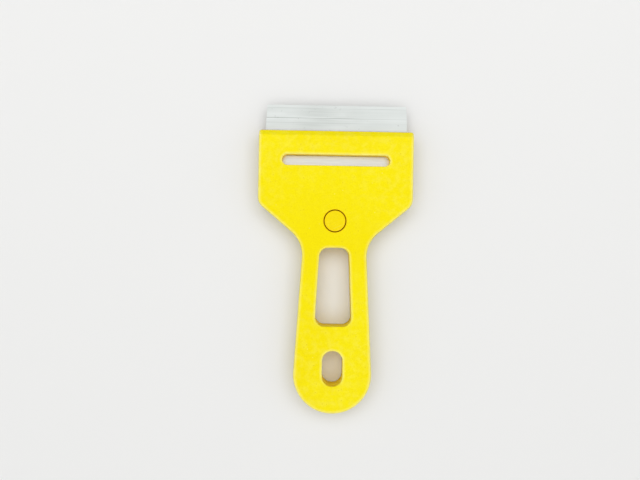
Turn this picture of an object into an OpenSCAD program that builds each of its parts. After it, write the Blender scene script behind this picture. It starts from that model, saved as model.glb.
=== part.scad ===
// Flat hand scraper for a single-edge blade.
// Two moulded halves turn on one flush rivet at the neck, and a blade with a folded spine
// lies between them in a channel that opens at the mouth of the head.
// X runs across the head, +Y points to the cutting edge and +Z out of the front face.
// The origin is on the back face, under the middle of the whole part.

/* [Body] */
// Length of the moulded body, from the round end of the handle to the mouth
body_l = 75.1; // [70:0.1:95]
// Length of the head's sides, from the mouth to where the shoulder lines would cross them
head_side_l = 19.5; // [17:0.1:24]
// Thickness of the head's side walls, beside the blade channel
side_wall = 1.42; // [0.9:0.01:3]
// Slope of the shoulders, measured from the mouth's own direction
shoulder_angle = 40; // [32:1:48]
// Width of the handle where the shoulder lines would cross its sides
neck_w = 16.75; // [14.5:0.05:20]
// Diameter of the round end of the handle
end_d = 20.75; // [18:0.05:26]
// Radius of the hollow curve between shoulder and handle
neck_r = 8; // [3:0.5:9]
// Radius of the corner between head side and shoulder
shoulder_r = 3.5; // [1.5:0.1:6]
// Radius of the two corners beside the mouth
mouth_corner_r = 0.7; // [0.6:0.1:1.5]
// Thickness of the front half
front_t = 1.95; // [1.6:0.05:3]
// Thickness of the back half's floor under the blade channel
floor_t = 1.9; // [1.5:0.05:3]
// Rounding of the outer edges
edge_r = 0.4; // [0.2:0.05:0.6]

/* [Mouth] */
// How far the mouth's bevel runs back from the lip
bevel_run = 1.45; // [0.8:0.05:3]
// How far the bevel drops from the outer face
bevel_drop = 1; // [0.6:0.05:1.2]

/* [Handle openings] */
// Width of the hang slot
hang_w = 5.4; // [4.5:0.1:8]
// Length of the hang slot along the handle
hang_l = 9.4; // [8:0.1:13]
// Distance from the handle's end to the hang slot
hang_end_gap = 7.2; // [5:0.05:10]
// Width of the bridge between the hang slot and the handle window
bridge_w = 6.5; // [4:0.05:10]
// Distance from the rivet's centre to the handle window
window_rivet_gap = 7.15; // [5:0.05:10]
// Width of the strut beside the handle window at its end nearer the hang slot
strut_low_w = 4.75; // [3.5:0.05:6]
// Width of the strut beside the handle window at its end nearer the rivet
strut_high_w = 4.6; // [3.5:0.05:5]
// Corner radius of the handle window
window_r = 2.4; // [0.8:0.1:3]
// Rounding of the rims of the openings
rim_r = 0.25; // [0.15:0.05:0.4]

/* [Sight slot] */
// Length of the slot that shows the blade's spine
sight_l = 28.6; // [20:0.1:33]
// Width of that slot
sight_w = 2.85; // [2:0.05:4]

/* [Rivet] */
// Distance from the mouth back to the rivet's centre
rivet_back = 24; // [22:0.1:27]
// Diameter of the two rivet heads
rivet_head_d = 5.55; // [5:0.05:6.5]
// Thickness of the rivet heads
rivet_head_t = 0.85; // [0.6:0.05:1]
// Diameter of the barrel that the front half turns on
barrel_d = 3.6; // [3:0.1:4.2]
// Diameter of the pin pressed into the barrel
pin_d = 1.8; // [1.2:0.1:2]
// Gap around the rivet heads, seen as a dark ring
ring_gap = 0.25; // [0.15:0.05:0.4]

/* [Swing] */
// How far the front half swings aside, in degrees
swing_angle = 100; // [60:5:120]
// Distance from the rivet's centre to the stop lug
lug_pitch = 5.6; // [5:0.1:6.2]
// Diameter of the stop lug
lug_d = 1.6; // [1.2:0.1:2]
// Height of the stop lug
lug_h = 0.7; // [0.4:0.05:0.9]

/* [Blade] */
// Width of the blade along its edge, a standard single-edge size
blade_w = 38.1; // [30:0.1:45]
// Length of the blade from the back of its spine to the cutting edge
blade_l = 19.05; // [18:0.05:20]
// Thickness of the blade's steel
blade_t = 0.3; // [0.2:0.01:0.4]
// How far the cutting edge stands out of the mouth
blade_out = 7.15; // [5:0.05:8]
// How far each end of the blade leans in towards the cutting edge
blade_lean = 0.35; // [0:0.05:0.8]
// Length over which the ends lean in
blade_lean_l = 7; // [4:0.1:8]
// Length of the blade's main grind
grind_l = 3.1; // [2:0.1:4]
// Length of the fine hone at the very edge
hone_l = 0.8; // [0.4:0.1:1.2]
// Length of the folded spine
spine_l = 5.4; // [4.5:0.05:6.5]
// Thickness of the folded spine over its two leaves
spine_t = 1; // [0.8:0.05:1.2]
// Depth of the notch in each end of the blade
notch_d = 1.3; // [0.6:0.1:2]
// Width of that notch along the blade's end
notch_w = 2.2; // [1.2:0.1:3]

/* [Clearances] */
// Clearance beside the blade in its channel
tray_clear = 0.1; // [0.05:0.01:0.2]
// Clearance under and over the spine in the channel
spine_clear = 0.05; // [0.02:0.01:0.1]
// Running gap between the two halves
plate_gap = 0.05; // [0.02:0.01:0.1]
// Radial running clearance of the barrel in the front half
running_clear = 0.05; // [0.02:0.01:0.09]
// Radial clearance of the barrel in the back half, and of the pin in the barrel
seat_clear = 0.02; // [0.01:0.01:0.04]
// How far the rivet heads lie below the faces
head_sink = 0.05; // [0.02:0.01:0.1]
// Clearance around the stop lug in its groove
lug_clear = 0.15; // [0.1:0.01:0.2]

/* [Hidden] */

$fn = 96;
yellow = [0.98, 0.88, 0.07];
steel = [0.80, 0.82, 0.81];
aluminium = [0.88, 0.87, 0.83];

// Cuts run this far past the faces that they open
overrun = 1;
// Edge break where the two halves meet, which draws the parting line
seam_break = 0.12;
// Rounding of the rims of the rivet heads
head_rim_r = 0.1;
// Rounding of the channel's back corners, as a share of the clearance beside the blade: at up to 3.4
// times that clearance the spine's square corners stay clear of it
tray_r_share = 3;
// Free depth left over the pin's tip
pin_tip_room = 0.3;
// Solid web left in the barrel's head over its hole
head_web_share = 0.45;
// Thickness left at the hone line and at the cutting edge, as shares of the steel's thickness
hone_t_share = 0.5;
edge_t_share = 0.06;
// Largest turn between two points of a curved outline, and steps in a rounded edge
facet_angle = 6;
round_steps = 3;

// Lengths along the part, from the middle of its whole length
end_y = -(body_l + blade_out) / 2;
mouth_y = end_y + body_l;
tip_y = mouth_y + blade_out;
blade_back_y = tip_y - blade_l;
spine_front_y = blade_back_y + spine_l;
rivet_y = mouth_y - rivet_back;
sight_y = spine_front_y - sight_w / 2;
hang_y = end_y + hang_end_gap + hang_l / 2;
window_low_y = end_y + hang_end_gap + hang_l + bridge_w;
window_high_y = rivet_y - window_rivet_gap;

// Heights from the back face, and lengths across the plates
tray_depth = spine_t + 2 * spine_clear;
back_t = floor_t + tray_depth;
front_z = back_t + plate_gap;
total_t = front_z + front_t;
blade_z = floor_t + spine_clear + spine_t / 2;
head_pocket = rivet_head_t + head_sink;
barrel_l = total_t - head_sink - head_pocket;
barrel_hole_l = barrel_l - rivet_head_t * head_web_share;
leaf_t = (spine_t - blade_t) / 2;
tray_r = tray_clear * tray_r_share;

// Outline of both halves: its straight lines and the centres of its curves
head_x = blade_w / 2 + tray_clear + side_wall;
neck_x = neck_w / 2;
shoulder_y = mouth_y - head_side_l;
neck_y = shoulder_y - (head_x - neck_x) * tan(shoulder_angle);
end_r = end_d / 2;
end_c = [0, end_y + end_r];
flare = asin(end_r / norm([neck_x, neck_y - end_c.y])) - atan2(neck_x, neck_y - end_c.y);
neck_tangent = neck_r * tan((90 + flare - shoulder_angle) / 2);
neck_c = [neck_x, neck_y] + neck_tangent * [sin(flare), -cos(flare)] + neck_r * [cos(flare), sin(flare)];
shoulder_c = [head_x - shoulder_r, shoulder_y + shoulder_r * tan((90 - shoulder_angle) / 2)];
mouth_r = max(mouth_corner_r, edge_r);
mouth_c = [head_x - mouth_r, mouth_y - mouth_r];

// Handle window: its sides follow the handle's sides
window_low_x = handle_x(window_low_y) - strut_low_w;
window_high_x = handle_x(window_high_y) - strut_high_w;
window_slope = atan2(window_low_x - window_high_x, window_high_y - window_low_y);
window_low_c = [window_low_x - window_r * tan((90 + window_slope) / 2), window_low_y + window_r];
window_high_c = [window_high_x - window_r * tan((90 - window_slope) / 2), window_high_y - window_r];

// Half the handle's width at a place along it
function handle_x(y) = neck_x + (neck_y - y) * tan(flare);

// Points of an arc about a centre, from one angle to another
function arc(centre, r, from, to) =
    let (steps = ceil(abs(to - from) / facet_angle))
    [for (i = [0:steps]) let (a = from + (to - from) * i / steps) centre + r * [cos(a), sin(a)]];

// The same points without the two ends
function between(points) = [for (i = [1:len(points) - 2]) points[i]];

// Right-hand halves of the outlines, from the handle's end upwards.
// The body's shrinks by the distance given, and those of the openings grow by it.
// A curve across the middle starts half a facet off it, so that one facet lies square there.
body_path = function(inset) concat(
    arc(end_c, end_r - inset, -90 + facet_angle / 2, flare),
    arc(neck_c, neck_r + inset, 180 + flare, 90 + shoulder_angle),
    arc(shoulder_c, shoulder_r - inset, shoulder_angle - 90, 0),
    arc(mouth_c, mouth_r - inset, 0, 90));

window_path = function(grow) concat(
    arc(window_low_c, window_r + grow, -90, window_slope),
    arc(window_high_c, window_r + grow, window_slope, 90));

hang_path = function(grow) let (straight = [0, (hang_l - hang_w) / 2]) concat(
    arc([0, hang_y] - straight, hang_w / 2 + grow, -90 + facet_angle / 2, 0),
    arc([0, hang_y] + straight, hang_w / 2 + grow, 0, 90 - facet_angle / 2));

sight_path = function(grow)
    arc([(sight_l - sight_w) / 2, sight_y], sight_w / 2 + grow, -90, 90);

// Section of a rounded edge: height and inset from the outer face, at height 0, to the inner face
function edge_section(t, r) = concat(
    [for (i = [0:round_steps]) let (a = 90 * i / round_steps) r * [1 - cos(a), 1 - sin(a)]],
    [[t - seam_break, 0], [t, seam_break]]);

// The same section for a cut, run past both faces
function cut_section(t, r) = concat([[-overrun, r]], edge_section(t, r), [[t + overrun, seam_break]]);

// Solid through a pile of outlines, each mirrored about the middle plane
module loft(path, section) {
    rings = [for (s = section) let (right = path(s[1])) concat(
        [for (p = right) [p.x, p.y, s[0]]],
        [for (i = [len(right) - 1:-1:0]) [-right[i].x, right[i].y, s[0]]])];
    n = len(rings[0]);
    last = (len(section) - 1) * n;
    cap = [for (i = [0:n / 2 - 2]) [i, i + 1, n - i - 2, n - i - 1]];
    walls = [for (k = [0:len(section) - 2]) for (i = [0:n - 1])
        let (a = k * n + i, b = k * n + (i + 1) % n) [a, a + n, b + n, b]];
    lid = [for (f = cap) [for (i = [len(f) - 1:-1:0]) f[i] + last]];
    polyhedron(points = [for (r = rings) each r], faces = concat(cap, walls, lid), convexity = 6);
}

// One half before its own cuts: outer face at height 0, with the window and the hang slot
module half_plate(t) {
    difference() {
        loft(body_path, edge_section(t, edge_r));
        loft(window_path, cut_section(t, rim_r));
        loft(hang_path, cut_section(t, rim_r));
        mouth_bevel();
        rivet_pocket();
    }
}

// Wedge cut from the outer face along the mouth
module mouth_bevel() {
    rotate([90, 0, 90])
        linear_extrude(height = 2 * head_x + 2 * overrun, center = true)
            polygon([
                [mouth_y - bevel_run, 0],
                [mouth_y - bevel_run, -overrun],
                [mouth_y + overrun, -overrun],
                [mouth_y + overrun, bevel_drop],
                [mouth_y, bevel_drop]]);
}

// Pocket for a rivet head in the outer face
module rivet_pocket() {
    translate([0, rivet_y, -overrun])
        cylinder(d = rivet_head_d + 2 * ring_gap, h = head_pocket + overrun);
}

// Rivet head with a rounded rim, its outer face at height 0
module rivet_head() {
    head_r = rivet_head_d / 2;
    rotate_extrude()
        polygon(concat(
            [[0, 0]],
            arc([head_r - head_rim_r, head_rim_r], head_rim_r, -90, 0),
            [[head_r, rivet_head_t], [0, rivet_head_t]]));
}

// Channel for the blade and its spine, open at the mouth, with round corners at its back
module blade_channel() {
    channel_x = blade_w / 2 + tray_clear;
    corner = [channel_x - tray_r, blade_back_y - tray_clear + tray_r];
    translate([0, 0, floor_t])
        linear_extrude(height = tray_depth + overrun)
            polygon(concat(
                arc([-corner.x, corner.y], tray_r, 180, 270),
                arc(corner, tray_r, 270, 360),
                [[channel_x, mouth_y + overrun], [-channel_x, mouth_y + overrun]]));
}

// Groove about the rivet that the stop lug runs in, with round ends
module swing_groove() {
    groove_r = lug_d / 2 + lug_clear;
    open_angle = 90 - swing_angle;
    open_c = lug_pitch * [cos(open_angle), sin(open_angle)];
    linear_extrude(height = lug_h + lug_clear + overrun)
        polygon(concat(
            arc([0, 0], lug_pitch + groove_r, open_angle, 90),
            between(arc([0, lug_pitch], groove_r, 90, 270)),
            arc([0, 0], lug_pitch - groove_r, 90, open_angle),
            between(arc(open_c, groove_r, open_angle - 180, open_angle))));
}

module back_plate() {
    color(yellow) {
        difference() {
            half_plate(back_t);
            blade_channel();
            translate([0, rivet_y, -overrun])
                cylinder(d = barrel_d + 2 * seat_clear, h = back_t + 2 * overrun);
        }
        translate([0, rivet_y + lug_pitch, floor_t])
            cylinder(d = lug_d, h = tray_depth + lug_h);
    }
}

module front_plate() {
    color(yellow)
        translate([0, 0, total_t])
            mirror([0, 0, 1])
                difference() {
                    half_plate(front_t);
                    loft(sight_path, cut_section(front_t, rim_r));
                    translate([0, rivet_y, -overrun])
                        cylinder(d = barrel_d + 2 * running_clear, h = front_t + 2 * overrun);
                    translate([0, rivet_y, front_t - lug_h - lug_clear])
                        swing_groove();
                }
}

module rivet_barrel() {
    color(yellow)
        translate([0, rivet_y, total_t - head_sink])
            mirror([0, 0, 1])
                difference() {
                    union() {
                        rivet_head();
                        cylinder(d = barrel_d, h = barrel_l);
                    }
                    translate([0, 0, barrel_l - barrel_hole_l])
                        cylinder(d = pin_d + 2 * seat_clear, h = barrel_hole_l + overrun);
                }
}

module rivet_pin() {
    color(yellow)
        translate([0, rivet_y, head_sink]) {
            rivet_head();
            cylinder(d = pin_d, h = rivet_head_t + barrel_hole_l - pin_tip_room);
        }
}

module blade() {
    steel_back_y = blade_back_y + leaf_t;
    edge_x = blade_w / 2 - blade_lean;
    color(steel)
        translate([0, 0, blade_z])
            difference() {
                intersection() {
                    rotate([90, 0, 90])
                        linear_extrude(height = blade_w + 2 * overrun, center = true)
                            polygon([
                                [steel_back_y, -blade_t / 2],
                                [tip_y - grind_l, -blade_t / 2],
                                [tip_y - hone_l, -blade_t * hone_t_share / 2],
                                [tip_y, -blade_t * edge_t_share / 2],
                                [tip_y, blade_t * edge_t_share / 2],
                                [tip_y - hone_l, blade_t * hone_t_share / 2],
                                [tip_y - grind_l, blade_t / 2],
                                [steel_back_y, blade_t / 2]]);
                    linear_extrude(height = 2 * spine_t, center = true)
                        polygon([
                            [-blade_w / 2, steel_back_y],
                            [blade_w / 2, steel_back_y],
                            [blade_w / 2, tip_y - blade_lean_l],
                            [edge_x, tip_y],
                            [-edge_x, tip_y],
                            [-blade_w / 2, tip_y - blade_lean_l]]);
                }
                for (side = [-1, 1])
                    translate([side * blade_w / 2, spine_front_y + notch_w / 2, 0])
                        cube([2 * notch_d, notch_w, 2 * spine_t], center = true);
            }
}

module blade_spine() {
    color(aluminium)
        translate([0, 0, blade_z])
            rotate([90, 0, 90])
                linear_extrude(height = blade_w, center = true)
                    difference() {
                        union() {
                            translate([blade_back_y + spine_t / 2, 0])
                                circle(d = spine_t);
                            translate([blade_back_y + spine_t / 2, -spine_t / 2])
                                square([spine_l - spine_t / 2, spine_t]);
                        }
                        translate([blade_back_y + leaf_t, -blade_t / 2])
                            square([spine_l + overrun, blade_t]);
                    }
}

back_plate();
front_plate();
rivet_barrel();
rivet_pin();
blade();
blade_spine();
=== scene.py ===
import math

import bmesh
import bpy
import numpy as np
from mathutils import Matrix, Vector
from mathutils.geometry import tessellate_polygon


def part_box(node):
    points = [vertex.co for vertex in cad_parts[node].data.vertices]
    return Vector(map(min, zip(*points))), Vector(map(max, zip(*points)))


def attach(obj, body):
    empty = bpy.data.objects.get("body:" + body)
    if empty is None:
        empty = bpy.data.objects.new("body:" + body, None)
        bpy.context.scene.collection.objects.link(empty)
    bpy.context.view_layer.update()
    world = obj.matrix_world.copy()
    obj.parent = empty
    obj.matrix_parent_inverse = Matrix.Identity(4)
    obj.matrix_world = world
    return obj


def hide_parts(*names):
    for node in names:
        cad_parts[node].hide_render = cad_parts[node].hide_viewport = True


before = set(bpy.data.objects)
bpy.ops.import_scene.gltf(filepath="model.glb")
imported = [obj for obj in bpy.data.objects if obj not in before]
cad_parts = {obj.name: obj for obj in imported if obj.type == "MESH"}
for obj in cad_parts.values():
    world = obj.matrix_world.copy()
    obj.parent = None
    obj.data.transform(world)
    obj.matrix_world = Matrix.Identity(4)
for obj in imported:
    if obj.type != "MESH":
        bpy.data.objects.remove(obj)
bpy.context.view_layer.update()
print("frame loaded:", sorted(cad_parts))

# Shapes are worked out in millimetres in the frame's own axes, and go into the meshes in metres.
mm = 0.001
fineness = {
    "arcStep": 2.0,      # degrees between two points of a curved outline
    "roundSteps": 7,     # faces across a rounded edge
    "turnSteps": 120,    # faces round a turned piece
    "creasePoints": 7,   # points across the rounded crease of the mouth's bevel
    "dishPoints": 9,     # points across the dish of a rivet head
    "sharpAngle": 32.0,  # edges that fold by more than this are shaded as corners
    "mergeGap": 1e-4,    # points nearer than this are one
}


def nodeBox(node):
    low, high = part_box(node)
    return np.array(low) / mm, np.array(high) / mm


frontLow, frontHigh = nodeBox("front_plate")
backLow, backHigh = nodeBox("back_plate")
barrelLow, barrelHigh = nodeBox("rivet_barrel")
pinLow, pinHigh = nodeBox("rivet_pin")
bladeLow, bladeHigh = nodeBox("blade")
spineLow, spineHigh = nodeBox("blade_spine")


# Points on a circle about a centre, in even steps from one angle to another.
def arc(centre, radius, start, end):
    count = max(2, math.ceil(abs(end - start) / fineness["arcStep"]) + 1)
    turn = np.radians(np.linspace(start, end, count))
    return np.asarray(centre) + radius * np.column_stack([np.cos(turn), np.sin(turn)])


# A right-hand half outline from bottom to top, then its mirror image back down.
def mirrored(half):
    return np.concatenate([half, half[::-1] * [-1, 1]])


halfStep = fineness["arcStep"] / 2      # a curve across the middle starts half a step off it


# A part of a piece holds its points, its faces, whether these are shaded smooth, and the points' wear and
# painted light.
# This one has quads between neighbouring rows of a grid of points, each row a closed loop.
def skin(grid, wearAndShading, smooth=True):
    rows, count = grid.shape[:2]
    here = np.arange(rows * count).reshape(rows, count)
    there = np.roll(here, -1, axis=1)
    quads = np.stack([here[:-1], there[:-1], there[1:], here[1:]], axis=-1).reshape(-1, 4)
    return grid.reshape(-1, 3), quads, smooth, np.broadcast_to(wearAndShading, (rows, count)).ravel()


# A flat face bounded by its first loop, with the other loops as holes in it.
def cap(loops):
    triangles = np.array(tessellate_polygon([loop.tolist() for loop in loops]))
    points = np.concatenate(loops)
    return points, triangles, False, np.zeros(len(points))


# A ladder of quads between the last points of a half outline and their mirror images.
def ladder(loop, first, smooth=True):
    right = np.arange(first, len(loop) // 2 - 1)
    left = len(loop) - 1 - right
    quads = np.column_stack([right, right + 1, left - 1, left])
    return loop, quads, smooth, np.zeros(len(loop))


# Joins the parts of one piece, merges the points they share and turns all faces outwards.
def makePiece(name, parts, body, node, material):
    starts = np.cumsum([0] + [len(part[0]) for part in parts[:-1]])
    points = np.concatenate([part[0] for part in parts]) * mm
    faces = [face for start, part in zip(starts, parts) for face in (part[1] + start).tolist()]
    smooth = np.concatenate([np.full(len(part[1]), part[2]) for part in parts])
    mesh = bpy.data.meshes.new(name)
    mesh.from_pydata(points.tolist(), [], faces)
    mesh.polygons.foreach_set("use_smooth", smooth)
    wearAndShading = mesh.attributes.new("wearAndShading", "FLOAT", "POINT")
    wearAndShading.data.foreach_set("value", np.concatenate([part[3] for part in parts]).astype(np.float32))
    work = bmesh.new()
    work.from_mesh(mesh)
    bmesh.ops.remove_doubles(work, verts=work.verts, dist=fineness["mergeGap"] * mm)
    bmesh.ops.recalc_face_normals(work, faces=work.faces)
    work.to_mesh(mesh)
    work.free()
    sides = np.empty(len(mesh.loops), dtype=np.int32)
    mesh.loops.foreach_get("edge_index", sides)
    openEdges = np.count_nonzero(np.bincount(sides, minlength=len(mesh.edges)) != 2)
    mesh.set_sharp_from_angle(angle=math.radians(fineness["sharpAngle"]))
    mesh.materials.append(material)
    piece = bpy.data.objects.new(name, mesh)
    bpy.context.scene.collection.objects.link(piece)
    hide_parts(node)
    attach(piece, body)
    print("piece", name, "has", len(mesh.polygons), "faces and", openEdges, "open edges")


# Shader maths: a wire is an output socket, and an expression on wires adds Math nodes.
class Wire:
    def __init__(self, tree, socket=None):
        self.tree = tree
        self.socket = socket

    # Any node: its type, its settings first, then the values or wires of its sockets.
    def node(self, kind, settings=None, sockets=None, out=0):
        made = self.tree.nodes.new(kind)
        for key, value in (settings or {}).items():
            setattr(made, key, value)
        for key, value in (sockets or {}).items():
            if isinstance(value, Wire):
                self.tree.links.new(value.socket, made.inputs[key])
            else:
                made.inputs[key].default_value = value
        return Wire(self.tree, made.outputs[out] if made.outputs else None)

    def maths(self, operation, first, second):
        return self.node("ShaderNodeMath", {"operation": operation}, {0: first, 1: second})

    def __add__(self, other):
        return self.maths("ADD", self, other)

    def __radd__(self, other):
        return self.maths("ADD", other, self)

    def __sub__(self, other):
        return self.maths("SUBTRACT", self, other)

    def __rsub__(self, other):
        return self.maths("SUBTRACT", other, self)

    def __mul__(self, other):
        return self.maths("MULTIPLY", self, other)

    def __rmul__(self, other):
        return self.maths("MULTIPLY", other, self)

    # 0 below the first value and 1 above the second, with a smooth rise between them.
    def rise(self, low, high):
        sockets = {"Value": self, "From Min": low, "From Max": high}
        return self.node("ShaderNodeMapRange", {"interpolation_type": "SMOOTHSTEP"}, sockets)

    # This wire as the share of the second colour in a mix.
    def colours(self, first, second):
        return self.node("ShaderNodeMix", {"data_type": "RGBA"}, {0: self, 6: first, 7: second}, 2)


def newMaterial(name):
    material = bpy.data.materials.new(name)
    material.use_nodes = True
    material.node_tree.nodes.clear()
    return material, Wire(material.node_tree)


def finishMaterial(wire, sockets):
    shader = wire.node("ShaderNodeBsdfPrincipled", {}, sockets)
    wire.node("ShaderNodeOutputMaterial", {}, {"Surface": shader})


def noise(wire, place, size, detail=2.0):
    sockets = {"Vector": place, "Scale": 1 / (size * mm), "Detail": detail}
    return wire.node("ShaderNodeTexNoise", {}, sockets, "Fac")


# Noise drawn out along one direction: streaks of a given length and width in millimetres.
def streaks(wire, place, angle, length, width, detail=2.0):
    sockets = {"Vector": place, "Rotation": (0, 0, math.radians(angle)),
               "Scale": (length * mm, width * mm, width * mm)}
    drawn = wire.node("ShaderNodeMapping", {"vector_type": "TEXTURE"}, sockets)
    return wire.node("ShaderNodeTexNoise", {}, {"Vector": drawn, "Scale": 1.0, "Detail": detail}, "Fac")


# Dots about scattered points: 1 out to a radius in millimetres, and 0 from twice that.
def dots(wire, place, gap, radius):
    cells = {"Vector": place, "Scale": 1 / (gap * mm), "Randomness": 1.0}
    distance = wire.node("ShaderNodeTexVoronoi", {}, cells, "Distance")
    return 1 - distance.rise(radius / gap, 2 * radius / gap)


# Satin moulded plastic: slow clouds, a fine grain, dark specks, pale flecks, scuffs, edges pale as rubbing
# and as painted highlight, and painted shade on walls, in gaps, at the lip and about one point of the
# face.
def mouldedPlastic(name, look):
    material, wire = newMaterial(name)
    place = wire.node("ShaderNodeTexCoord", {}, {}, "Object")
    cloud = noise(wire, place, look["cloudSize"], 3.0)
    mottle = noise(wire, place, look["mottleSize"])
    grain = noise(wire, place, look["grainSize"])
    speck = dots(wire, place, look["speckGap"], look["speckSize"]) * mottle.rise(0.45, 0.58)
    fleck = dots(wire, place, look["fleckGap"], look["fleckSize"]) * (1 - mottle.rise(0.42, 0.55))
    patch = noise(wire, place, look["scuffPatch"], 1.0).rise(0.48, 0.66)
    scuffA, scuffB = (streaks(wire, place, angle, look["scuffLength"], look["scuffWidth"])
                      for angle in look["scuffAngles"])
    scuff = (scuffA.rise(0.62, 0.72) + scuffB.rise(0.63, 0.73)) * patch
    span = {0: place, 1: np.array(look["middle"]) * mm}
    reach = wire.node("ShaderNodeVectorMath", {"operation": "DISTANCE"}, span, "Value")
    outOfShade = reach.rise(look["fadeStart"] * mm, look["fadeEnd"] * mm)      # painted shade about middle, below the camera
    cloudShare = look["fadeLeast"] + (1 - look["fadeLeast"]) * outOfShade
    wearAndShading = wire.node("ShaderNodeAttribute", {"attribute_name": "wearAndShading"}, {}, "Fac")
    paleShare = wire.maths("MAXIMUM", wearAndShading, 0.0)       # above 0: edges pale, as rubbing and as painted highlight
    shadeAmount = 0.0 - wearAndShading                             # below 0: amber, then darker from -0.5 on; painted shade on walls, in gaps and at the lip
    rubAndHighlight = paleShare * (0.75 + 0.8 * (mottle - 0.5)) * look["edgePale"]
    base = (cloud.rise(0.3, 0.7) * cloudShare).colours(look["deep"], look["light"])
    base = (grain.rise(0.35, 0.7) * look["grainTint"]).colours(base, look["dark"])
    base = (mottle.rise(0.4, 0.7) * outOfShade * look["mottleTint"]).colours(base, look["pale"])
    base = (speck * look["speckTint"]).colours(base, look["dark"])
    base = (fleck * look["fleckTint"] + scuff * look["scuffTint"]).colours(base, look["pale"])
    base = rubAndHighlight.colours(base, look["rubAndHighlight"])
    base = shadeAmount.rise(0.0, 0.5).colours(base, look["shadeAmber"])
    base = (shadeAmount.rise(0.5, 1.0) * (0.9 + 0.4 * (mottle - 0.5))).colours(base, look["gapShade"])
    rough = look["roughness"] + 0.12 * (cloud - 0.5) + 0.12 * (grain - 0.5) - 0.08 * scuff - 0.06 * paleShare
    height = grain + 0.5 * mottle - 0.4 * speck - 0.5 * scuff
    bump = {"Strength": look["bump"], "Distance": look["grainDepth"] * mm, "Height": height}
    normal = wire.node("ShaderNodeBump", {}, bump)
    finishMaterial(wire, {"Base Color": base, "Roughness": rough, "Normal": normal,
                          "Specular IOR Level": look["specular"]})
    return material


bodyLook = {
    "deep": (0.955, 0.80, 0.0, 1), "light": (0.975, 0.845, 0.002, 1),      # the clouds' two yellows
    "dark": (0.74, 0.52, 0.0, 1), "pale": (0.97, 0.90, 0.20, 1),           # of specks, and of scuffs
    # Paler edges, rubbing and painted highlight; painted amber shade on walls; painted dark shade in the
    # gaps and at the lip.
    "rubAndHighlight": (0.98, 0.92, 0.42, 1), "shadeAmber": (0.98, 0.56, 0.0, 1), "gapShade": (0.46, 0.19, 0.0, 1),
    # Painted shade: a deeper yellow about middle, below the camera, giving way to the clouds from
    # fadeStart to fadeEnd.
    "middle": (-3.0, 6.0, 0.0), "fadeStart": 4.0, "fadeEnd": 28.0, "fadeLeast": 0.2,
    "cloudSize": 16.0, "mottleSize": 1.7, "mottleTint": 0.14, "grainSize": 0.3, "grainTint": 0.16,
    "speckGap": 1.2, "speckSize": 0.10, "speckTint": 0.45,
    "fleckGap": 2.2, "fleckSize": 0.12, "fleckTint": 0.35,
    "scuffPatch": 9.0, "scuffLength": 6.0, "scuffWidth": 0.10, "scuffAngles": (24, -62), "scuffTint": 0.22,
    "edgePale": 0.6, "roughness": 0.47, "specular": 0.14, "bump": 0.35, "grainDepth": 0.03,
}
bodyYellow = mouldedPlastic("bodyYellow", bodyLook)
rivetLook = dict(bodyLook, deep=(0.95, 0.745, 0.0, 1), light=(0.96, 0.79, 0.001, 1))
rivetYellow = mouldedPlastic("rivetYellow", rivetLook)


# Ground steel: lines along the edge, a main grind and a brighter hone with drawn borders, a painted glint
# beside the grind's line, small nicks, and painted shade where it leaves the mouth.
def groundSteel(name, look):
    material, wire = newMaterial(name)
    place = wire.node("ShaderNodeTexCoord", {}, {}, "Object")
    across, along = (wire.node("ShaderNodeSeparateXYZ", {}, {"Vector": place}, axis) for axis in "XY")
    fine = streaks(wire, place, 0, look["lineLength"], look["lineWidth"], 3.0)
    broad = streaks(wire, place, 0, look["broadLength"], look["broadWidth"])
    patchy = streaks(wire, place, 0, look["patchLength"], look["patchWidth"])
    slow = streaks(wire, place, 0, look["slowLength"], look["slowWidth"], 1.0)
    stain = noise(wire, place, look["stainSize"], 3.0)
    nick = dots(wire, place, look["nickGap"], look["nickSize"]) * stain.rise(0.42, 0.55)
    edge = bladeHigh[1] * mm
    soft = look["borderWidth"] * mm
    grind, hone, glint = look["grind"], look["hone"], look["glintGap"]

    def border(back, wide=1.0):      # a thin line at a distance back from the cutting edge
        line = edge - back * mm
        return along.rise(line - wide * soft, line) * (1 - along.rise(line, line + wide * soft))

    def band(back):        # everything between that distance and the edge
        return along.rise(edge - back * mm - soft, edge - back * mm + soft)

    split = slow.rise(0.42, 0.58)      # the side of the grind's dark line on which its painted glint lies
    gapped = patchy.rise(0.3, 0.6)
    polished = across.rise(look["polishStart"] * mm, look["polishEnd"] * mm)
    lined = 1 - 0.7 * polished      # the grind's lines are fainter at one end
    base = fine.rise(0.3, 0.7).colours(look["dark"], look["light"])
    base = (broad.rise(0.42, 0.62) * 0.3).colours(base, look["light"])
    base = (patchy.rise(0.45, 0.75) * 0.35 + slow.rise(0.35, 0.65) * 0.45).colours(base, look["bright"])
    base = (band(grind) * 0.08 + band(hone) * 0.3 + polished * 0.2).colours(base, look["bright"])
    base = (border(grind) * (0.3 + 0.35 * split) * lined).colours(base, look["deep"])
    # A painted glint: a bright line on one side of the grind's dark line.
    base = (border(grind + glint) * split * 0.9).colours(base, look["bright"])
    base = (border(grind - glint) * (1 - split) * 0.9).colours(base, look["bright"])
    base = (border(look["backLine"]) * gapped * lined * 0.3).colours(base, look["deep"])
    base = (border(hone) * gapped * 0.3).colours(base, look["deep"])
    base = (stain.rise(0.66, 0.74) * 0.3 + nick * 0.5).colours(base, look["deep"])
    # Painted shade where the steel meets the lip, broken up by the stain.
    base = (border(look["mouth"], look["mouthShade"]) * stain * 0.7).colours(base, look["deep"])
    rough = look["roughness"] + 0.16 * (fine - 0.5) + 0.08 * (broad - 0.5) - 0.06 * band(hone)
    height = fine + 0.5 * broad - 0.5 * nick
    bump = {"Strength": look["bump"], "Distance": look["lineDepth"] * mm, "Height": height}
    normal = wire.node("ShaderNodeBump", {}, bump)
    finishMaterial(wire, {"Base Color": base, "Metallic": 1.0, "Roughness": rough, "Normal": normal})
    return material


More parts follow.
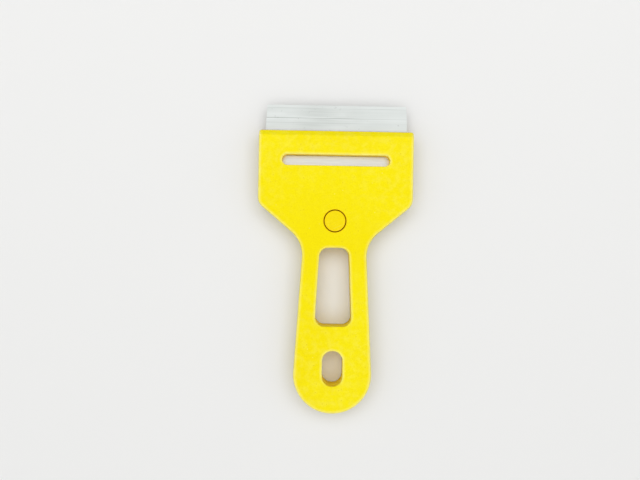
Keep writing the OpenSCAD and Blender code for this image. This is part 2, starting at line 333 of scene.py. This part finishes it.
bladeLook = {
    "dark": (0.70, 0.74, 0.71, 1), "light": (0.80, 0.84, 0.81, 1), "bright": (0.96, 1.0, 0.98, 1),
    "deep": (0.46, 0.49, 0.46, 1),
    "lineLength": 18.0, "lineWidth": 0.12, "lineDepth": 0.003, "broadLength": 72.0, "broadWidth": 0.72,
    "patchLength": 12.0, "patchWidth": 3.0, "slowLength": 16.0, "slowWidth": 48.0,
    "grind": 3.5, "hone": 0.8,            # how far back from the cutting edge their lines lie
    "borderWidth": 0.18, "glintGap": 0.288, "backLine": 4.76,
    "mouth": 7.0, "mouthShade": 4.0,          # painted shade where the steel leaves the mouth, its width in border widths
    "polishStart": 2.0, "polishEnd": 9.0,
    "stainSize": 1.1, "nickGap": 2.4, "nickSize": 0.09, "roughness": 0.40, "bump": 0.2,
}
bladeSteel = groundSteel("bladeSteel", bladeLook)


# Rolled aluminium: a satin strip with short fine lines along it and a slow warm stain.
def rolledAluminium(name, look):
    material, wire = newMaterial(name)
    place = wire.node("ShaderNodeTexCoord", {}, {}, "Object")
    fine = streaks(wire, place, 0, look["lineLength"], look["lineWidth"], 3.0)
    slow = noise(wire, place, look["stainSize"])
    pit = dots(wire, place, look["pitGap"], look["pitSize"])
    base = fine.rise(0.3, 0.7).colours(look["dark"], look["light"])
    base = (slow.rise(0.4, 0.7) * 0.5).colours(base, look["warm"])
    base = (pit * 0.35).colours(base, look["deep"])
    rough = look["roughness"] + 0.12 * (fine - 0.5) + 0.08 * (slow - 0.5) + 0.1 * pit
    bump = {"Strength": look["bump"], "Distance": look["lineDepth"] * mm, "Height": fine - 0.5 * pit}
    normal = wire.node("ShaderNodeBump", {}, bump)
    finishMaterial(wire, {"Base Color": base, "Metallic": 1.0, "Roughness": rough, "Normal": normal})
    return material


spineLook = {
    "dark": (0.85, 0.86, 0.82, 1), "light": (0.97, 0.98, 0.95, 1), "warm": (0.93, 0.92, 0.87, 1),
    "deep": (0.60, 0.59, 0.54, 1), "lineLength": 5.0, "lineWidth": 0.12, "lineDepth": 0.004,
    "pitGap": 1.6, "pitSize": 0.07, "stainSize": 7.0, "roughness": 0.42, "bump": 0.25,
}
spineMetal = rolledAluminium("spineMetal", spineLook)
print("materials made:", len(bpy.data.materials))

plate = {
    "headSide": 19.5,       # from the mouth to where the shoulder line would cross the head's side
    "shoulderAngle": 40.0,  # slope of the shoulders in degrees
    "neckWidth": 16.75,     # width of the handle where the shoulder lines would cross it
    "endWidth": 20.75,      # diameter of the handle's round end
    "neckCurve": 8.0,
    "shoulderCurve": 3.5,
    "mouthCurve": 0.7,
    "edgeRound": 0.4,       # rounding of the outer edges
    "rimRound": 0.25,       # rounding of the rims of the openings
    "pocketRound": 0.06,    # rounding of the rim round a rivet head
    "seamBreak": 0.12,      # edge break where the halves meet
    "paleBand": 0.55,       # width of the paler band beside an edge, rubbing and painted highlight
    "seamBand": 0.28,       # the same on the inner faces
    "waistGuard": 0.3,      # how much less pale the edges are at the waist than at the ends
    "waistReach": 9.0,      # how far that reaches along the part
    "bevelRun": 1.45,       # how far the mouth's bevel runs back from the lip
    "bevelDrop": 1.0,       # how far it drops from the outer face
    "bevelSoft": 0.25,      # half the length over which its crease is rounded
    "lipShare": 0.25,       # rounding of the lip as a share of the outer edges'
    "lipShadeReach": 0.3,         # how far back from the lip its painted shade reaches
    "gap": 0.05,            # running gap between the halves
}

# Wear and painted light at the points of a plate: above 0 pale, as rubbing and as a painted highlight on
# edges; below 0 amber, and darker from -0.5 on, painted shade on walls, in gaps and at the lip.
wearAndShadingLevel = {
    "rim": 0.7, "crest": 0.3,       # over a rounded edge, rubbing and painted highlight, and how much more at its crest
    "beside": 0.35,                 # on the face next to it
    "wall": -0.18,                  # outer walls: painted shade, a little deeper in colour than the faces
    "foot": 0.2, "seam": -0.7,      # over the edge break between the halves and just inside it
    "slotShare": 0.5,               # how much of that shows in the openings
    "opening": -0.26,               # walls of the openings: painted amber shade
    "ring": -0.1, "gap": -1.0,      # painted shade beside the gap round a rivet head, and in it
    "bore": -0.3,
    "lip": -0.75, "lipWall": -0.47,      # painted shade added along the mouth's lip, and on the wall there
    "lug": 0.5,
}

# The outline's straight lines and the centres of its curves, from the frame's box.
headX, mouthY = frontHigh[:2]
endY = frontLow[1]
shoulderTurn = math.radians(plate["shoulderAngle"])
endR = plate["endWidth"] / 2
endC = np.array([0, endY + endR])
neckX = plate["neckWidth"] / 2
shoulderY = mouthY - plate["headSide"]
neckY = shoulderY - (headX - neckX) * math.tan(shoulderTurn)
flareTurn = (math.asin(endR / math.hypot(neckX, neckY - endC[1]))
             - math.atan2(neckX, neckY - endC[1]))
flare = math.degrees(flareTurn)
tangent = plate["neckCurve"] * math.tan((math.pi / 2 + flareTurn - shoulderTurn) / 2)
neckC = (np.array([neckX, neckY]) + tangent * np.array([math.sin(flareTurn), -math.cos(flareTurn)])
         + plate["neckCurve"] * np.array([math.cos(flareTurn), math.sin(flareTurn)]))
shoulderC = np.array([headX - plate["shoulderCurve"],
                      shoulderY + plate["shoulderCurve"] * math.tan((math.pi / 2 - shoulderTurn) / 2)])
mouthC = np.array([headX, mouthY]) - plate["mouthCurve"]
bevelY = mouthY - plate["bevelRun"]
creaseY = bevelY + plate["bevelSoft"] * np.linspace(-1, 1, fineness["creasePoints"])


# Right half of the body's outline, moved inwards: four tangent arcs and the ends of the crease.
def bodyHalf(inset):
    return np.concatenate([
        arc(endC, endR - inset, -90 + halfStep, flare),
        arc(neckC, plate["neckCurve"] + inset, 180 + flare, 90 + plate["shoulderAngle"]),
        arc(shoulderC, plate["shoulderCurve"] - inset, plate["shoulderAngle"] - 90, 0),
        np.column_stack([np.full_like(creaseY, headX - inset), creaseY]),
        arc(mouthC, plate["mouthCurve"] - inset, 0, 90)])


mouthCount = len(arc(mouthC, plate["mouthCurve"], 0, 90))
creaseStart = len(bodyHalf(0)) - mouthCount - len(creaseY)      # the main face ends at this point


# Fall of the outer face towards the mouth: a straight slope, with a parabola through its crease.
def bevelFall(y):
    soft = plate["bevelSoft"]
    past = y - bevelY
    curved = np.clip(past + soft, 0, 2 * soft) ** 2 / (4 * soft)
    return plate["bevelDrop"] / plate["bevelRun"] * np.where(past > soft, past, curved)


openings = {
    "hangWidth": 5.4, "hangLength": 9.4,
    "hangEndGap": 7.2,                       # from the handle's end to the hang slot
    "bridge": 6.5,                           # from the hang slot to the window
    "windowRivetGap": 7.15,                  # from the window to the rivet's axis
    "strutLow": 4.75, "strutHigh": 4.6,      # width of the struts at the window's two ends
    "windowCurve": 2.4,
    "sightLength": 28.6, "sightWidth": 2.85,
}
rivetC = (barrelLow[:2] + barrelHigh[:2]) / 2
hangC = np.array([0, endY + openings["hangEndGap"] + openings["hangLength"] / 2])
windowLowY = endY + openings["hangEndGap"] + openings["hangLength"] + openings["bridge"]
windowHighY = rivetC[1] - openings["windowRivetGap"]


def handleX(y):      # half the handle's width at a place along it
    return neckX + (neckY - y) * math.tan(flareTurn)


windowLowX = handleX(windowLowY) - openings["strutLow"]
windowHighX = handleX(windowHighY) - openings["strutHigh"]
windowTurn = math.atan2(windowLowX - windowHighX, windowHighY - windowLowY)
windowR = openings["windowCurve"]
windowLowC = np.array([windowLowX - windowR * math.tan((math.pi / 2 + windowTurn) / 2),
                       windowLowY + windowR])
windowHighC = np.array([windowHighX - windowR * math.tan((math.pi / 2 - windowTurn) / 2),
                        windowHighY - windowR])


# The window: two corner arcs on sides that follow the handle's sides.
def windowLoop(grow):
    slope = math.degrees(windowTurn)
    return mirrored(np.concatenate([arc(windowLowC, windowR + grow, -90, slope),
                                    arc(windowHighC, windowR + grow, slope, 90)]))


# The hang slot: two half circles, one above the other.
def hangLoop(grow):
    radius = openings["hangWidth"] / 2
    straight = np.array([0, openings["hangLength"] / 2 - radius])
    return mirrored(np.concatenate([arc(hangC - straight, radius + grow, -90 + halfStep, 0),
                                    arc(hangC + straight, radius + grow, 0, 90 - halfStep)]))


# The sight slot: two half circles side by side, its upper side over the front of the spine.
def sightLoop(grow):
    radius = openings["sightWidth"] / 2
    centre = np.array([openings["sightLength"] / 2 - radius, spineHigh[1] - radius])
    return mirrored(arc(centre, radius + grow, -90, 90))


def roundLoop(centre, radius):
    return lambda grow: arc(centre, radius + grow, 0, 360 - fineness["arcStep"])


# Rows of a rim, each with its inset, its share of the plate's thickness, an offset from that and its wear
# and painted light.
def roundedRows(radius):
    turn = np.radians(np.linspace(0, 90, fineness["roundSteps"] + 1))
    wearAndShading = wearAndShadingLevel["rim"] + wearAndShadingLevel["crest"] * np.sin(2 * turn)
    inset, drop = radius * (1 - np.sin(turn)), radius * (np.cos(turn) - 1)
    return np.column_stack([inset, np.ones_like(turn), drop, wearAndShading])


# The outer face's own rows beside an edge, over which the paleness, rubbing and painted highlight, fades
# away.
def faceRows(radius):
    band = plate["paleBand"]
    return np.array([[radius + band, 1, 0, 0], [radius + band / 3, 1, 0, wearAndShadingLevel["beside"]]])


# From the wall's foot over the edge break to the inner face.
seamRows = np.array([
    [0, 0, plate["seamBreak"], wearAndShadingLevel["foot"]],
    [plate["seamBreak"], 0, 0, wearAndShadingLevel["seam"]],
    [plate["seamBreak"] + plate["seamBand"], 0, 0, 0],
])
slotSeamRows = seamRows * [1, 1, 1, wearAndShadingLevel["slotShare"]]


# Down a wall, from under its rounded edge to just over its foot.
def wallRows(radius, wearAndShading):
    return np.array([[0, 1, -2 * radius, wearAndShading], [0, 0, 2 * plate["seamBreak"], wearAndShading]])


# A rim carried along an outline: each row is the outline moved by its inset, at its own height.
def rim(loop, rows, thickness):
    base = loop(0)
    inwards = loop(1) - base
    share = np.interp(base[:, 1], [bevelY, mouthY], [1, plate["lipShare"]])      # finer towards the lip
    outline = base + (rows[:, 0, None] * share)[..., None] * inwards
    thick = thickness - bevelFall(outline[..., 1])
    drop = rows[:, 2, None] * np.where(rows[:, 1, None] == 1, share, 1)
    wearAndShading = rows[:, 3, None] * np.ones(len(base))
    guard = 1 - plate["waistGuard"] * np.exp(-((base[:, 1] - neckY) / plate["waistReach"]) ** 2)
    # The pale band thins at the waist, and as a painted highlight it keeps off rims that face the mouth's
    # way.
    wearAndShading = np.where(wearAndShading > 0, wearAndShading * guard * np.clip(1 + inwards[:, 1], 0, 1), wearAndShading)
    # Painted shade along the lip, where it stands over the blade.
    lip = np.clip(1 - (mouthY - base[:, 1]) / plate["lipShadeReach"], 0, 1)
    onWall = rows[:, 3, None] == wearAndShadingLevel["wall"]
    lipShade = lip * np.where(onWall, wearAndShadingLevel["lipWall"], wearAndShadingLevel["lip"])
    wearAndShading += lipShade * (rows[:, 0, None] < plate["edgeRound"])
    return np.dstack([outline, rows[:, 1, None] * thick + drop]), wearAndShading


# The outer face up to the bevel's crease, as a loop of its own.
def mainFace(loop):
    return np.concatenate([loop[:creaseStart + 1], loop[len(loop) - 1 - creaseStart:]])


# Heights are counted from the inner face outwards, and are turned into Z at the end.
def placed(parts, startZ, way):
    return [(points * [1, 1, way] + [0, 0, startZ], *rest) for points, *rest in parts]


edgeRound, rimRound, pocketRound = (plate[key] for key in ("edgeRound", "rimRound", "pocketRound"))
outerRows = wallRows(edgeRound, wearAndShadingLevel["wall"])
amberRows = wallRows(rimRound, wearAndShadingLevel["opening"])
holeRows = np.concatenate([faceRows(rimRound), roundedRows(rimRound), amberRows, slotSeamRows])
pocket = {"depth": 0.9, "radius": 3.025, "frontBore": 1.85, "backBore": 1.82}


# Into the pocket of a rivet head and through its bore; painted shade darkens towards the gap round the
# head, and the bore is painted amber.
def pocketRows(bore):
    foot = bore - pocket["radius"]
    down = [[0, 1, -pocket["depth"], wearAndShadingLevel["gap"]], [foot, 1, -pocket["depth"], wearAndShadingLevel["gap"]],
            [foot, 0, 0, wearAndShadingLevel["bore"]]]
    rows = np.concatenate([faceRows(pocketRound), roundedRows(pocketRound)])
    rows[1:, 3] = np.linspace(wearAndShadingLevel["ring"], wearAndShadingLevel["gap"], len(rows) - 1)
    return np.concatenate([rows, down])


pocketLoop = roundLoop(rivetC, pocket["radius"])

swing = {
    "lugPitch": 5.6,       # from the rivet's axis to the stop lug
    "lugWidth": 1.6,
    "lugClear": 0.15,      # room round the lug in its groove
    "angle": 100.0,
    "rim": 0.1,            # edge break of the lug and the groove
}
grooveDepth = backHigh[2] - frontLow[2] + plate["gap"] + swing["lugClear"]
grooveR = swing["lugWidth"] / 2 + swing["lugClear"]


# The groove that the stop lug runs in: an arc about the rivet with round ends.
def grooveLoop(grow):
    low = 90 - swing["angle"]
    ends = rivetC + swing["lugPitch"] * np.array(
        [[math.cos(math.radians(low)), math.sin(math.radians(low))], [0, 1]])
    return np.concatenate([
        arc(rivetC, swing["lugPitch"] + grooveR + grow, low, 90),
        arc(ends[1], grooveR + grow, 90, 270)[1:],
        arc(rivetC, swing["lugPitch"] - grooveR - grow, 90, low)[1:],
        arc(ends[0], grooveR + grow, low + 180, low + 360)[1:-1]])


def makeFrontHalf():
    thickness = frontHigh[2] - frontLow[2]
    edgeRows = np.concatenate([faceRows(edgeRound), roundedRows(edgeRound), outerRows, seamRows])
    body, bodyWearAndShading = rim(lambda inset: mirrored(bodyHalf(inset)), edgeRows, thickness)
    holes = [rim(loop, holeRows, thickness) for loop in (windowLoop, hangLoop, sightLoop)]
    holes.append(rim(pocketLoop, pocketRows(pocket["frontBore"]), thickness))
    grooveRows = np.array([[swing["rim"], 0, 0, 0], [0, 0, swing["rim"], 0], [0, 0, grooveDepth, 0]])
    groove, grooveWear = rim(grooveLoop, grooveRows, thickness)
    parts = [skin(body, bodyWearAndShading), skin(groove, grooveWear), cap([groove[-1]])]
    parts += [skin(*hole) for hole in holes]
    parts.append(cap([mainFace(body[0])] + [hole[0] for hole, _ in holes]))
    parts.append(ladder(body[0], creaseStart))
    parts.append(cap([body[-1]] + [hole[-1] for hole, _ in holes] + [groove[0]]))
    makePiece("frontHalf", placed(parts, frontLow[2], 1), "front_half", "front_plate",
              bodyYellow)


tray = {"sideClear": 0.1, "floorClear": 0.05, "cornerCurve": 0.3}
trayX = bladeHigh[0] + tray["sideClear"]
trayY = spineLow[1] - tray["sideClear"]
innerZ = frontLow[2] - plate["gap"]
trayDepth = innerZ - (spineLow[2] - tray["floorClear"])


# The rim round the blade's tray: the body's outline up to the mouth, then down into the tray and across.
def trayHalf(inset):
    curve = tray["cornerCurve"]
    return np.concatenate([
        bodyHalf(inset),
        [[trayX + inset, mouthY - inset]],
        arc([trayX - curve, trayY + curve], curve + inset, 0, -90)])


# Below that rim: the body's outline, with a point where the tray's side meets the mouth.
def footHalf(inset):
    return np.concatenate([bodyHalf(inset), [[trayX, mouthY - inset]]])


def makeBackHalf():
    trayRow = [[0, 0, trayDepth, wearAndShadingLevel["wall"]]]
    edgeRows = np.concatenate([faceRows(edgeRound), roundedRows(edgeRound), outerRows[:1], trayRow])
    upperRows = np.concatenate([trayRow, outerRows[1:], seamRows])
    body, bodyWearAndShading = rim(lambda inset: mirrored(footHalf(inset)), edgeRows, innerZ)
    upper, upperWearAndShading = rim(lambda inset: mirrored(trayHalf(inset)), upperRows, innerZ)
    holes = [rim(loop, holeRows, innerZ) for loop in (windowLoop, hangLoop)]
    holes.append(rim(pocketLoop, pocketRows(pocket["backBore"]), innerZ))
    lugR, lugRim = swing["lugWidth"] / 2, swing["rim"]
    lugTop = innerZ - backHigh[2]
    lugRows = np.array([[lugRim, 0, 0, 0], [0, 0, -lugRim, 0],
                        [0, 0, lugTop + lugRim, wearAndShadingLevel["lug"]], [-lugRim, 0, lugTop, wearAndShadingLevel["lug"]]])
    lug, lugWear = rim(roundLoop(rivetC + [0, swing["lugPitch"]], lugR), lugRows, innerZ)
    tip = len(bodyHalf(0))
    floor = upper[0][tip:len(upper[0]) - tip]      # the tray's own part of the rim's foot
    parts = [skin(body, bodyWearAndShading), skin(lug, lugWear), cap([lug[-1]]), cap([floor])]
    parts += [skin(*hole) for hole in holes]
    parts.append(skin(upper, upperWearAndShading))
    parts.append(cap([mainFace(body[0])] + [hole[0] for hole, _ in holes]))
    parts.append(ladder(body[0], creaseStart))
    parts.append(cap([upper[-1]] + [hole[-1] for hole, _ in holes] + [lug[0]]))
    makePiece("backHalf", placed(parts, innerZ, -1), "back_half", "back_plate",
              bodyYellow)


makeFrontHalf()
makeBackHalf()

rivet = {
    "rim": 0.10, "dish": 0.06, "headThick": 0.85,      # a head's rounding, hollow and thickness
    "barrelWidth": 3.6, "hole": 1.84,
    "web": 0.38,            # what is left of the barrel's head over its hole
    "pinWidth": 1.8, "pinTip": 0.22,
    "shadeShare": 0.6,       # part of the rim's rounding over which the painted shade grows dark
    "rimShade": 0.2,         # how much painted shade the flat has where the rim starts
    "shadePower": 6,         # how closely that keeps to the rim
}


# A profile of radius and height turned about the rivet's axis.
def turned(profile, wearAndShading):
    turn = np.linspace(0, 2 * np.pi, fineness["turnSteps"], endpoint=False)
    radius, height = profile[:, 0, None], profile[:, 1, None]
    grid = np.dstack([rivetC[0] + radius * np.cos(turn), rivetC[1] + radius * np.sin(turn),
                      np.broadcast_to(height, (len(profile), len(turn)))])
    return skin(grid, wearAndShading[:, None])


# Rivet head: a shallow dish, a rounded rim and a straight side, counted down from its outer face.
def headProfile(radius):
    flat = radius - rivet["rim"]
    across = np.linspace(0, 1, fineness["dishPoints"])
    dish = np.column_stack([across * flat, rivet["dish"] * (1 - across ** 2) ** 2])
    rounded = arc([flat, rivet["rim"]], rivet["rim"], -90, 0)[1:]
    return np.concatenate([dish, rounded, [[radius, rivet["headThick"]]]])


# Barrel and pin are turned from a head and a stem each; painted shade lies in the gap round the head and
# spreads over its rim.
def makeRivet():
    headR = (barrelHigh[0] - barrelLow[0]) / 2
    head = headProfile(headR)
    barrelEnd = barrelHigh[2] - barrelLow[2]
    shank = [[rivet["barrelWidth"] / 2, rivet["headThick"]], [rivet["barrelWidth"] / 2, barrelEnd],
             [rivet["hole"] / 2, barrelEnd], [rivet["hole"] / 2, rivet["web"]], [0, rivet["web"]]]
    barrel = np.concatenate([head, shank])
    pinEnd = pinHigh[2] - pinLow[2]
    pinR = rivet["pinWidth"] / 2
    tip = rivet["pinTip"]
    stem = [[pinR, rivet["headThick"]], [pinR, pinEnd - tip], [pinR - tip, pinEnd], [0, pinEnd]]
    pin = np.concatenate([head, stem])
    for name, node, profile, top, way in (("rivetBarrel", "rivet_barrel", barrel, barrelHigh[2], -1),
                                          ("rivetPin", "rivet_pin", pin, pinLow[2], 1)):
        onFlat = np.arange(len(profile)) < fineness["dishPoints"]
        shadeAmount = np.clip(profile[:, 1] / (rivet["rim"] * rivet["shadeShare"]), rivet["rimShade"], 1)
        wearAndShading = -np.where(onFlat, rivet["rimShade"] * (profile[:, 0] / headR) ** rivet["shadePower"], shadeAmount)
        points = profile * [1, way] + [0, top]
        makePiece(name, [turned(points, wearAndShading)], "back_half", node, rivetYellow)


makeRivet()

blade = {
    "lean": 0.35, "leanLength": 7.0,            # the ends lean in towards the cutting edge
    "grind": 3.1, "hone": 0.8,                  # how far back from the cutting edge these start
    "honeShare": 0.5, "edgeShare": 0.06,        # shares of the thickness left at the hone and at the edge
    "notchDepth": 1.3, "notchWidth": 2.2, "notchCurve": 0.35, "cornerCurve": 0.35,
    "edgeRound": 0.05, "sideShare": 0.34,       # broken edges, and how far from the middle they start
}
tipY = bladeHigh[1]
grindY = tipY - np.array([blade["grind"], blade["hone"]])
bladeX = bladeHigh[0]


# Half the blade's width at a place along it, where the ends lean in.
def leanX(y):
    return bladeX - blade["lean"] * np.clip((y - tipY + blade["leanLength"]) / blade["leanLength"], 0, 1)


# Right half of the blade's outline: back corner, notch with round corners, lean and tip corner.
def bladeHalf(inset):
    backY, curve = bladeLow[1], blade["cornerCurve"]
    notchLow = spineHigh[1]
    notchHigh = notchLow + blade["notchWidth"]
    deep, small = bladeX - blade["notchDepth"], blade["notchCurve"]
    tipX = bladeX - blade["lean"]
    rows = np.array([tipY - blade["leanLength"], *grindY])
    return np.concatenate([
        [[bladeX - inset, backY + inset], [bladeX - inset, notchLow - inset]],
        arc([deep + small, notchLow + small], small + inset, -90, -180),
        arc([deep + small, notchHigh - small], small + inset, 180, 90),
        [[bladeX - inset, notchHigh + inset]],
        np.column_stack([leanX(rows) - inset, rows]),
        arc([tipX - curve, tipY - curve], curve - inset, 0, 90)])


# Thickness of the steel: straight slopes through the grind and the hone down to the edge.
def bladeThick(y):
    full = bladeHigh[2] - bladeLow[2]
    shares = np.array([1, blade["honeShare"], blade["edgeShare"]])
    return np.interp(y, [*grindY, tipY], full * shares)


def makeBlade():
    middleZ = (bladeLow[2] + bladeHigh[2]) / 2
    shares = np.array([0.5, blade["sideShare"], -blade["sideShare"], -0.5])
    insets = blade["edgeRound"] * np.array([1, 0, 0, 1])
    outline = np.stack([mirrored(bladeHalf(inset)) for inset in insets])
    height = middleZ + shares[:, None] * bladeThick(outline[..., 1])
    grid = np.dstack([outline, height])
    tipCount = len(arc([0, 0], 1, 0, 90))
    first = len(bladeHalf(0)) - tipCount - len(grindY)      # the flat steel ends at this point
    parts = [skin(grid, 0.0, False)]
    for loop in (grid[0], grid[-1]):
        parts.append(cap([np.concatenate([loop[:first + 1], loop[len(loop) - 1 - first:]])]))
        parts.append(ladder(loop, first, False))
    makePiece("razorBlade", parts, "blade_unit", "blade", bladeSteel)


makeBlade()

spine = {"endRound": 0.06, "lipRound": 0.1}


# Section of the folded spine, moved inwards: a round back, two leaves and the slot that holds the steel.
def spineSection(inset):
    half = (spineHigh[2] - spineLow[2]) / 2
    slot = (bladeHigh[2] - bladeLow[2]) / 2
    backY, frontY = spineLow[1], spineHigh[1]
    leaf = half - slot
    lip = spine["lipRound"]
    upper = np.concatenate([
        [[backY + leaf - inset, slot + inset]],
        [[frontY - inset, slot + inset]],
        arc([frontY - lip, half - lip], lip - inset, 0, 90),
        arc([backY + half, 0], half - inset, 90, 180 - halfStep)])
    return np.concatenate([upper, upper[::-1] * [1, -1]])


# The section carried along X, drawn in a little at both ends.
def makeSpine():
    middleZ = (spineLow[2] + spineHigh[2]) / 2
    soft = spine["endRound"]
    stations = np.array([spineLow[0], spineLow[0] + soft, spineHigh[0] - soft, spineHigh[0]])
    insets = soft * np.array([1, 0, 0, 1])
    sections = np.stack([spineSection(inset) for inset in insets])
    across = np.broadcast_to(stations[:, None], sections.shape[:2])
    grid = np.dstack([across, sections[..., 0], middleZ + sections[..., 1]])
    ends = [cap([end[:, [1, 2, 0]]]) for end in (grid[0], grid[-1])]
    parts = [skin(grid, 0.0)]
    parts += [(points[:, [2, 0, 1]], *rest) for points, *rest in ends]
    makePiece("bladeSpine", parts, "blade_unit", "blade_spine", spineMetal)


makeSpine()


# Rays that show the stage, from the camera or off metal, and not those that carry its light.
def showing(wire):
    camera, glossy, through = (wire.node("ShaderNodeLightPath", {}, {}, ray) for ray in
                               ("Is Camera Ray", "Is Glossy Ray", "Is Transmission Ray"))
    return camera + glossy + through


backdrop = 0.85      # brightness of the backdrop, where 1 is white
floorLook = {
    "size": 60000.0, "drop": 0.02,      # how wide it is, and how far under the part
    "pale": (0.86, 0.86, 0.85, 1), "cloud": (0.6, 0.6, 0.6, 1), "cloudSize": 25.0, "cloudTint": 0.02,
    "bounce": (0.14, 0.14, 0.14, 1),    # its colour for the light that it sends back
    "roughness": 0.9, "specular": 0.1, "fadeStart": 100.0, "fadeEnd": 450.0,
}


# Plain pale floor, just under the part, that turns into the backdrop with distance.
def makeFloor():
    material, wire = newMaterial("paleFloor")
    place = wire.node("ShaderNodeTexCoord", {}, {}, "Object")
    cloud = noise(wire, place, floorLook["cloudSize"])
    base = (cloud * floorLook["cloudTint"]).colours(floorLook["pale"], floorLook["cloud"])
    base = showing(wire).colours(floorLook["bounce"], base)
    matt = {"Base Color": base, "Roughness": floorLook["roughness"],
            "Specular IOR Level": floorLook["specular"]}
    near = wire.node("ShaderNodeBsdfPrincipled", {}, matt)
    far = wire.node("ShaderNodeEmission", {}, {"Color": (1, 1, 1, 1), "Strength": backdrop})
    distance = wire.node("ShaderNodeVectorMath", {"operation": "LENGTH"}, {0: place}, "Value")
    fade = distance.rise(floorLook["fadeStart"] * mm, floorLook["fadeEnd"] * mm) * showing(wire)
    mixed = wire.node("ShaderNodeMixShader", {}, {0: fade, 1: near, 2: far})
    wire.node("ShaderNodeOutputMaterial", {}, {"Surface": mixed})
    half, depth = floorLook["size"] / 2 * mm, -floorLook["drop"] * mm
    corners = [[-half, -half, depth], [half, -half, depth], [half, half, depth], [-half, half, depth]]
    mesh = bpy.data.meshes.new("floor")
    mesh.from_pydata(corners, [], [[0, 1, 2, 3]])
    mesh.materials.append(material)
    floor = bpy.data.objects.new("floor", mesh)
    bpy.context.scene.collection.objects.link(floor)


makeFloor()

# Soft studio light: two panels overhead with a gap between them for the camera, and three lower ones
# at the handle's end and at either side. Places and sizes are in metres.
skyLevel = 0.22
panels = {
    "headPanel": {"at": (0, 0.28, 0.42), "size": (0.8, 0.42), "power": 1.82, "facing": False},
    "tailPanel": {"at": (0, -0.28, 0.42), "size": (0.8, 0.42), "power": 0.86, "facing": False},
    "lowPanel": {"at": (0, -0.5, 0.30), "size": (0.75, 0.45), "power": 0.48, "facing": True},
    "leftPanel": {"at": (-0.5, -0.05, 0.30), "size": (0.75, 0.45), "power": 0.77, "facing": True},
    "rightPanel": {"at": (0.5, -0.05, 0.30), "size": (0.75, 0.45), "power": 0.73, "facing": True},
}


def makeLights():
    for name, panel in panels.items():
        light = bpy.data.lights.new(name, "AREA")
        light.shape = "RECTANGLE"
        light.size, light.size_y = panel["size"]
        light.energy = panel["power"]
        lamp = bpy.data.objects.new(name, light)
        lamp.location = panel["at"]
        if panel["facing"]:      # turned to the part, and the others look straight down
            lamp.rotation_euler = Vector(panel["at"]).to_track_quat("Z", "Y").to_euler()
        lamp.visible_glossy = False      # metal mirrors the pale backdrop alone
        bpy.context.scene.collection.objects.link(lamp)
    world = bpy.data.worlds.new("studio")
    world.use_nodes = True
    world.node_tree.nodes.clear()
    wire = Wire(world.node_tree)
    shown = wire.node("ShaderNodeClamp", {}, {"Value": showing(wire)})
    level = skyLevel + shown * (backdrop - skyLevel)
    sky = wire.node("ShaderNodeBackground", {}, {"Color": (1, 1, 1, 1), "Strength": level})
    wire.node("ShaderNodeOutputWorld", {}, {"Surface": sky})
    bpy.context.scene.world = world


makeLights()

photo = {"place": (-3.86, 4.855, 132.2), "turn": 1.08, "lens": 27.06, "sensor": 36.0, "clipStart": 10.0}


# The camera looks straight down, as in the photograph.
def makeCamera():
    lens = bpy.data.cameras.new("overhead")
    lens.lens = photo["lens"]
    lens.sensor_width = photo["sensor"]
    lens.clip_start = photo["clipStart"] * mm
    camera = bpy.data.objects.new("overhead", lens)
    camera.location = np.array(photo["place"]) * mm
    camera.rotation_euler = (0, 0, math.radians(photo["turn"]))
    bpy.context.scene.collection.objects.link(camera)
    bpy.context.scene.camera = camera
    bpy.context.scene.view_settings.view_transform = "Standard"


makeCamera()
print("studio and camera set")
